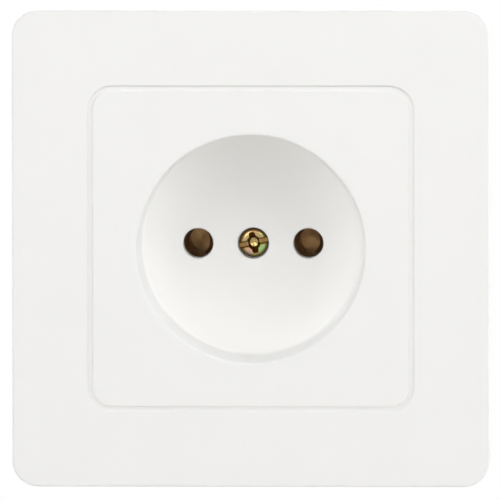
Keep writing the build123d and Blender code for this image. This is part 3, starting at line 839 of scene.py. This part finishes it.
    def _thread(self, depth: np.ndarray, angle: np.ndarray) -> np.ndarray:
        """Radius of the threaded shank.

        Along the helix the radius is a flattened triangle wave of depth less angle. It fades out under
        the head and at the tip, where the shank also narrows.

        Args:
            depth: depth under the head, as a column.
            angle: angle about the axis, as a row.

        Returns:
            The radius for each depth and angle.
        """
        phase = np.mod(depth / self.pitch - angle / (2 * np.pi), 1.0)
        triangle = 1 - np.abs(2 * phase - 1)
        wave = np.clip(self.flank_slope * triangle - self.root_flat, 0, 1)
        fade = np.clip(depth / self.pitch, 0, 1) * np.clip((self.length - depth) / self.pitch, 0, 1)
        root = self.shank_r - self.thread_depth * self.pitch
        tip = 1 - self.tip_taper * np.clip(1 - (self.length - depth) / self.pitch, 0, 1)
        return (root + (self.shank_r - root) * wave * fade) * tip

    def _rings(self, rim: np.ndarray) -> np.ndarray:
        """Rings of points down the threaded shank, in even steps of depth.

        A ring has a point at the angle of each point of the head's rim.

        Args:
            rim: the rim's points, a row each.

        Returns:
            The points, by ring and by place on the ring.
        """
        angle = np.arctan2(rim[:, 2], rim[:, 0])[None, :]
        steps = int(round(self.length / self.pitch * self.turn_steps))
        depth = np.linspace(0, self.length, steps)[:, None]
        radius = self._thread(depth, angle)
        return np.stack([radius * np.cos(angle), depth + 0 * radius, radius * np.sin(angle)], axis=-1)

    def surface(self, centre: Pair, seat: float, turn: float) -> Surface:
        """The whole screw as one closed surface.

        The head is a grid of chords that two poles close at its ends. Its outline then runs down the
        shank as rings, and a fan closes the tip.

        Args:
            centre: x and z of the axis.
            seat: y of the plane that the head sits on.
            turn: angle of the slot from level, in degrees.

        Returns:
            The surface, in the part's frame.
        """
        along, up = self._grid()
        grid = np.stack([along, -self._head(along, up), up], axis=-1).reshape(-1, 3)
        poles = np.array([[0, 0, -self.head_r], [0, 0, self.head_r]])
        head = np.concatenate([grid, poles])
        number = np.arange(len(grid)).reshape(along.shape)
        bottom, top = len(grid), len(grid) + 1
        loop = np.concatenate([[bottom], number[:, -1], [top], number[::-1, 0]])
        rings = self._rings(head[loop])
        tip = np.array([[0, self.length, 0]])
        local = np.concatenate([head, rings.reshape(-1, 3), tip])
        ring_number = len(head) + np.arange(rings[..., 0].size).reshape(rings.shape[:2])
        bands = np.concatenate([loop[None, :], ring_number])
        gaps = along.shape[1] - 1
        last = np.full(len(loop), len(local) - 1)
        faces = [
            self._quads(number),
            np.stack([np.full(gaps, bottom), number[0, 1:], number[0, :-1]], axis=1),
            np.stack([np.full(gaps, top), number[-1, :-1], number[-1, 1:]], axis=1),
            self._quads(np.concatenate([bands, bands[:, :1]], axis=1))[:, ::-1],
            np.stack([last, ring_number[-1], np.roll(ring_number[-1], -1)], axis=1)[:, ::-1],
        ]
        # Painted shade on the head's points; the shank and the tip get none
        painted_shade = np.zeros(len(local))
        painted_shade[: len(grid)] = self._painted_shade(along, up).ravel()
        return Surface(self._placed(local, centre, seat, turn), faces, painted_shade)

    @staticmethod
    def _placed(local: np.ndarray, centre: Pair, seat: float, turn: float) -> np.ndarray:
        """Turn points about the screw's axis, then move them to its place.

        Args:
            local: points about the axis, with the seat at y = 0.
            centre: x and z of the axis.
            seat: y of the plane that the head sits on.
            turn: angle of the slot from level, in degrees.

        Returns:
            The points in the part's frame.
        """
        swing = math.radians(turn)
        x = centre[0] + local[:, 0] * math.cos(swing) - local[:, 2] * math.sin(swing)
        z = centre[1] + local[:, 0] * math.sin(swing) + local[:, 2] * math.cos(swing)
        return np.stack([x, seat + local[:, 1], z], axis=1)

    @staticmethod
    def _quads(number: np.ndarray) -> np.ndarray:
        """Faces between the neighbours of a grid of point numbers.

        Args:
            number: point numbers in rows and columns.

        Returns:
            Four point numbers a face.
        """
        corners = (number[:-1, :-1], number[1:, :-1], number[1:, 1:], number[:-1, 1:])
        return np.stack([c.ravel() for c in corners], axis=1)


# Sub-assemblies


@dataclass(kw_only=True)
class SubAssembly:
    """Pieces that are dressed together, with the sizes that their screws don't take from the frame."""

    wardrobe: Wardrobe
    head_height: float
    shank_r: float
    pitch: float
    drive: Drive = Drive.COMBINATION
    head_rows: int = 34

    def make_screws(
        self, node: str, slot: Slot, head_r: float, centres: Sequence[Pair], turns: Sequence[float]
    ) -> None:
        """Make all screws of a node as one threaded piece that stands for the node.

        Args:
            node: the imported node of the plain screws.
            slot: the slot of the screws' finish.
            head_r: the radius of their heads.
            centres: x and z of each screw's axis.
            turns: angle of each screw's slot from level, in degrees.
        """
        low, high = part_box(node)
        seat = low.y + self.head_height
        shape = ScrewShape(
            head_r=head_r,
            head_height=self.head_height,
            shank_r=self.shank_r,
            length=high.y - seat,
            pitch=self.pitch,
            drive=self.drive,
            rows=self.head_rows,
        )
        screws = [shape.surface(centre, seat, turn) for centre, turn in zip(centres, turns)]
        piece = Surface.joined(screws).piece(f"{node}_threaded")
        self.wardrobe.dress_piece(piece, slot, SOCKET_BODY, node)

    def make_screw(self, node: str, turn: float) -> None:
        """Make a node's one yellow screw, in the middle of the node's box.

        Args:
            node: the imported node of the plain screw.
            turn: angle of its slot from level, in degrees.
        """
        low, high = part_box(node)
        middle = (low + high) / 2
        self.make_screws(node, Slot.YELLOW_ZINC, (high.x - low.x) / 2, [(middle.x, middle.z)], [turn])


@dataclass(kw_only=True)
class Front(SubAssembly):
    """Surround frame, cover plate and the screw that holds them, with its nut."""

    head_height: float = 1.8 * MM
    shank_r: float = 1.5 * MM
    pitch: float = 0.5 * MM
    head_rows: int = 100
    slot_turn: float = 12.5

    def build(self) -> None:
        """Dress the mouldings and the nut, and make the cover screw."""
        for node in ("frame", "cover_plate"):
            self.wardrobe.dress_node(node, Slot.WHITE_PLASTIC)
        self.wardrobe.dress_node("cover_nut", Slot.ZINC_STEEL)
        self.make_screw("cover_screw", self.slot_turn)


@dataclass(kw_only=True)
class Support(SubAssembly):
    """Steel strap, insulating base and the four screws between them."""

    head_height: float = 1.8 * MM
    shank_r: float = 1.35 * MM
    pitch: float = 0.9 * MM
    head_r: float = 2.6 * MM
    slot_turns: tuple[float, ...] = (24.0, -61.0, 8.0, 77.0)

    def build(self) -> None:
        """Dress the strap and the base, and make the four screws in the corners of their node's box."""
        self.wardrobe.dress_node("support_strap", Slot.ZINC_STEEL)
        self.wardrobe.dress_node("base", Slot.BASE_PLASTIC)
        low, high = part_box("strap_screws")
        centres = [
            (x - math.copysign(self.head_r, x), z - math.copysign(self.head_r, z))
            for x in (low.x, high.x)
            for z in (low.z, high.z)
        ]
        self.make_screws("strap_screws", Slot.ZINC_STEEL, self.head_r, centres, self.slot_turns)


@dataclass(kw_only=True)
class Contact(SubAssembly):
    """One pin contact with its spring clip, washer and terminal screw."""

    side: Side
    head_height: float = 2.2 * MM
    shank_r: float = 1.75 * MM
    pitch: float = 0.6 * MM
    slot_turn: float = 18.0

    def build(self) -> None:
        """Dress the contact, clip and washer, and make the terminal screw."""
        word = self.side.word
        self.wardrobe.dress_node(f"contact_{word}", Slot.BRASS)
        self.wardrobe.dress_node(f"contact_spring_{word}", Slot.SPRING_STEEL)
        self.wardrobe.dress_node(f"terminal_washer_{word}", Slot.ZINC_STEEL)
        self.make_screw(f"terminal_screw_{word}", self.side.value * self.slot_turn)


@dataclass(kw_only=True)
class Claw(SubAssembly):
    """One spreading claw with its screw and nut."""

    side: Side
    head_height: float = 2.0 * MM
    shank_r: float = 1.5 * MM
    pitch: float = 0.5 * MM
    drive: Drive = Drive.SLOT
    slot_turn: float = 84.0

    def build(self) -> None:
        """Dress the claw and its nut, and make the claw's screw."""
        word = self.side.word
        self.wardrobe.dress_node(f"claw_{word}", Slot.ZINC_STEEL)
        self.wardrobe.dress_node(f"claw_nut_{word}", Slot.ZINC_STEEL)
        self.make_screw(f"claw_screw_{word}", self.side.value * self.slot_turn)


# Studio


def direction(azimuth: float, elevation: float) -> Vector:
    """Unit vector from the object towards a viewpoint.

    Args:
        azimuth: degrees to the right of straight in front.
        elevation: degrees above level.

    Returns:
        The vector, in the part's frame.
    """
    a, e = math.radians(azimuth), math.radians(elevation)
    return Vector((math.sin(a) * math.cos(e), -math.cos(a) * math.cos(e), math.sin(e)))


@dataclass(frozen=True)
class Lamp:
    """A soft box, placed by its direction from the object.

    Attributes:
        azimuth: degrees to the right of straight in front.
        elevation: degrees above level.
        level: brightness of a white surface that faces the lamp squarely.
        lighting: whether it lights rough surfaces.
        mirrored: whether it shows in shiny ones.
    """

    name: str
    azimuth: float
    elevation: float
    distance: float
    width: float
    height: float
    level: float
    colour: Colour = WHITE
    lighting: bool = True
    mirrored: bool = True

    def build(self, aim: Vector) -> None:
        """Make the lamp, turned towards a point and hidden from the camera.

        The lamp's power is its level times the square of pi times the distance.

        Args:
            aim: the point that it lights.
        """
        data = bpy.data.lights.new(self.name, "AREA")
        data.shape = "RECTANGLE"
        data.size = self.width
        data.size_y = self.height
        data.color = self.colour
        data.energy = self.level * (math.pi * self.distance) ** 2
        lamp = bpy.data.objects.new(self.name, data)
        away = direction(self.azimuth, self.elevation)
        lamp.location = aim + away * self.distance
        lamp.rotation_mode = "QUATERNION"
        lamp.rotation_quaternion = away.to_track_quat("Z", "Y")
        lamp.visible_camera = False
        lamp.visible_diffuse = self.lighting
        lamp.visible_glossy = self.mirrored
        bpy.context.scene.collection.objects.link(lamp)
        LOG.info("lamp %s", self.name)


@dataclass
class Studio:
    """White studio: world, pale floor, soft boxes and the camera.

    Attributes:
        azimuth: the camera's degrees to the right of straight in front.
        elevation: its degrees above level.
        distance: its distance from the object's front.
        roll: degrees that it is turned about its own line of sight.
        aim_shift: how far it aims to the right of the front's middle and above it.
        view_width: width that it takes in at the object's front.
        sensor: width of its sensor, in millimetres.
        ambient: strength of the even light from all sides.
        floor_drop: how far the floor lies under the object.
        floor_half: half the floor's width.
        floor_lift: glow that lifts the floor's shade where it is seen.
        shadow_reach: distance from the origin up to which the floor shows the object's shadow.
        white_from: distance from which the floor is plain white.
    """

    azimuth: float = 2.05
    elevation: float = 3.9
    distance: float = 3.0
    roll: float = -0.07
    aim_shift: Pair = (-0.07 * MM, -0.21 * MM)
    view_width: float = 85.77 * MM
    sensor: float = 36.0
    ambient: float = 0.055
    floor_drop: float = 30 * MM
    floor_half: float = 6.0
    floor_colour: Colour = (0.80, 0.80, 0.80)
    floor_lift: float = 0.3
    shadow_reach: float = 120 * MM
    white_from: float = 240 * MM
    # Each lamp has its name, azimuth, elevation, distance, width and height first
    lamps: tuple[Lamp, ...] = (
        Lamp("front_box", 2.3, 1.0, 1.2, 0.30, 0.14, level=0.288, colour=WARM, mirrored=False),
        Lamp("right_box", 61.0, 11.0, 0.9, 0.80, 0.60, level=0.465, colour=COOL, mirrored=False),
        Lamp("far_right_box", 75.0, 8.0, 0.9, 0.60, 0.60, level=0.08, colour=COOL, mirrored=False),
        Lamp("left_box", -48.0, 13.0, 0.9, 0.60, 0.60, level=0.23, colour=COOL, mirrored=False),
        Lamp("far_left_box", -75.0, 8.0, 0.9, 0.60, 0.60, level=0.10, colour=COOL, mirrored=False),
        Lamp("high_left_box", -45.0, 35.0, 0.9, 0.50, 0.50, level=0.11, colour=COOL, mirrored=False),
        Lamp("high_right_box", 45.0, 35.0, 0.9, 0.50, 0.50, level=0.065, colour=COOL, mirrored=False),
        Lamp("high_front_box", 2.0, 52.0, 0.9, 0.60, 0.40, level=0.06, colour=WARM, mirrored=False),
        Lamp("top_box", 2.0, 77.0, 0.6, 0.40, 0.20, level=0.12, colour=COOL, mirrored=False),
        Lamp("low_box", 2.0, -80.0, 1.5, 1.00, 0.66, level=0.47, mirrored=False),
        Lamp("left_glint", -13.0, 12.0, 1.2, 0.28, 0.28, level=0.06, lighting=False),
        Lamp("right_glint", 15.0, 17.0, 1.2, 0.24, 0.24, level=0.07, lighting=False),
        Lamp("back_box", 180.0, 32.0, 0.9, 0.70, 0.40, level=0.58),
        Lamp("back_right_box", 118.0, 12.0, 0.9, 0.50, 0.50, level=0.4),
        Lamp("back_left_box", -120.0, 12.0, 0.9, 0.50, 0.50, level=0.5),
    )

    def build(self) -> None:
        """Make the whole studio around the object's front."""
        low, high = CAD_BOX
        front = Vector(((low.x + high.x) / 2, low.y, (low.z + high.z) / 2))
        bpy.context.scene.view_settings.view_transform = "Standard"
        self._world()
        self._floor(low.z - self.floor_drop)
        for lamp in self.lamps:
            lamp.build(front)
        self._camera(front)

    @staticmethod
    def _seen(sheet: NodeSheet) -> Signal:
        """Tell what is seen from what only lights.

        Args:
            sheet: the node tree of a world or a material.

        Returns:
            1 for camera, glossy and transmission rays, and 0 for light that falls on a diffuse surface.
        """
        seen = sheet.node("ShaderNodeLightPath", output="Is Camera Ray")
        for kind in ("Is Glossy Ray", "Is Transmission Ray"):
            seen = seen.larger(sheet.node("ShaderNodeLightPath", output=kind))
        return seen

    @staticmethod
    def _glow(strength: float) -> dict[str | int, Any]:
        """Sockets of a shader that glows white, where a strength of 1 is plain white."""
        return {"Color": (*WHITE, 1.0), "Strength": strength}

    def _world(self) -> None:
        """White where it is seen, and an even soft light elsewhere."""
        world = bpy.data.worlds.new("studio_world")
        world.use_nodes = True
        bpy.context.scene.world = world
        sheet = NodeSheet(world.node_tree)
        light = sheet.node("ShaderNodeBackground", None, self._glow(self.ambient))
        shown = sheet.node("ShaderNodeBackground", None, self._glow(1.0))
        mixed = sheet.node("ShaderNodeMixShader", None, {0: self._seen(sheet), 1: light, 2: shown})
        sheet.node("ShaderNodeOutputWorld", None, {"Surface": mixed})

    def _floor_paint(self) -> bpy.types.Material:
        """Paint that reads white where it is seen, and darker in the object's shadow.

        Where it is seen, the pale paint has a glow added, and with the distance from the origin it
        passes smoothly into plain white.

        Returns:
            The floor's material.
        """
        made = bpy.data.materials.new("floor_paint")
        made.use_nodes = True
        sheet = NodeSheet(made.node_tree)
        paint = sheet.node("ShaderNodeBsdfDiffuse", None, {"Color": (*self.floor_colour, 1.0)})
        glow = sheet.node("ShaderNodeEmission", None, self._glow(self.floor_lift))
        lifted = sheet.node("ShaderNodeAddShader", None, {0: paint, 1: glow})
        plain = sheet.node("ShaderNodeEmission", None, self._glow(1.0))
        length = {"operation": "LENGTH"}
        away = sheet.node("ShaderNodeVectorMath", length, {0: sheet.place()}, output="Value")
        far = away.between(self.shadow_reach, self.white_from)
        shown = sheet.node("ShaderNodeMixShader", None, {0: far, 1: lifted, 2: plain})
        mixed = sheet.node("ShaderNodeMixShader", None, {0: self._seen(sheet), 1: paint, 2: shown})
        sheet.node("ShaderNodeOutputMaterial", None, {"Surface": mixed})
        return made

    def _floor(self, height: float) -> None:
        """A pale square floor under the object.

        Args:
            height: z of the floor.
        """
        corners = np.array([(-1, -1), (1, -1), (1, 1), (-1, 1)]) * self.floor_half
        points = np.column_stack([corners, np.full(len(corners), height)])
        mesh = bpy.data.meshes.new("floor")
        mesh.from_pydata(points.tolist(), [], [tuple(range(len(points)))])
        mesh.materials.append(self._floor_paint())
        floor = bpy.data.objects.new("floor", mesh)
        bpy.context.scene.collection.objects.link(floor)
        # The floor shows the object's shadow, but throws no light on it and lets the low lamp through
        floor.visible_diffuse = False
        floor.visible_shadow = False

    def _camera(self, front: Vector) -> None:
        """A long lens that takes in the view's width at the front of the object.

        Args:
            front: the middle of the object's front.
        """
        data = bpy.data.cameras.new("photo_camera")
        data.sensor_fit = "HORIZONTAL"
        data.sensor_width = self.sensor
        data.lens = self.sensor * self.distance / self.view_width
        camera = bpy.data.objects.new("photo_camera", data)
        away = direction(self.azimuth, self.elevation)
        aim = front + Vector((self.aim_shift[0], 0, self.aim_shift[1]))
        camera.location = aim + away * self.distance
        camera.rotation_mode = "QUATERNION"
        turn = Quaternion(away, math.radians(self.roll))
        camera.rotation_quaternion = turn @ (-away).to_track_quat("-Z", "Y")
        bpy.context.scene.collection.objects.link(camera)
        bpy.context.scene.camera = camera


def main() -> None:
    """Build the studio and dress the sub-assemblies in order."""
    logging.basicConfig(level=logging.INFO, format="%(name)s: %(message)s")
    Studio().build()
    wardrobe = Wardrobe(FINISHES)
    Front(wardrobe=wardrobe).build()
    Support(wardrobe=wardrobe).build()
    for side in Side:
        Contact(wardrobe=wardrobe, side=side).build()
        Claw(wardrobe=wardrobe, side=side).build()


if __name__ == "__main__":
    main()
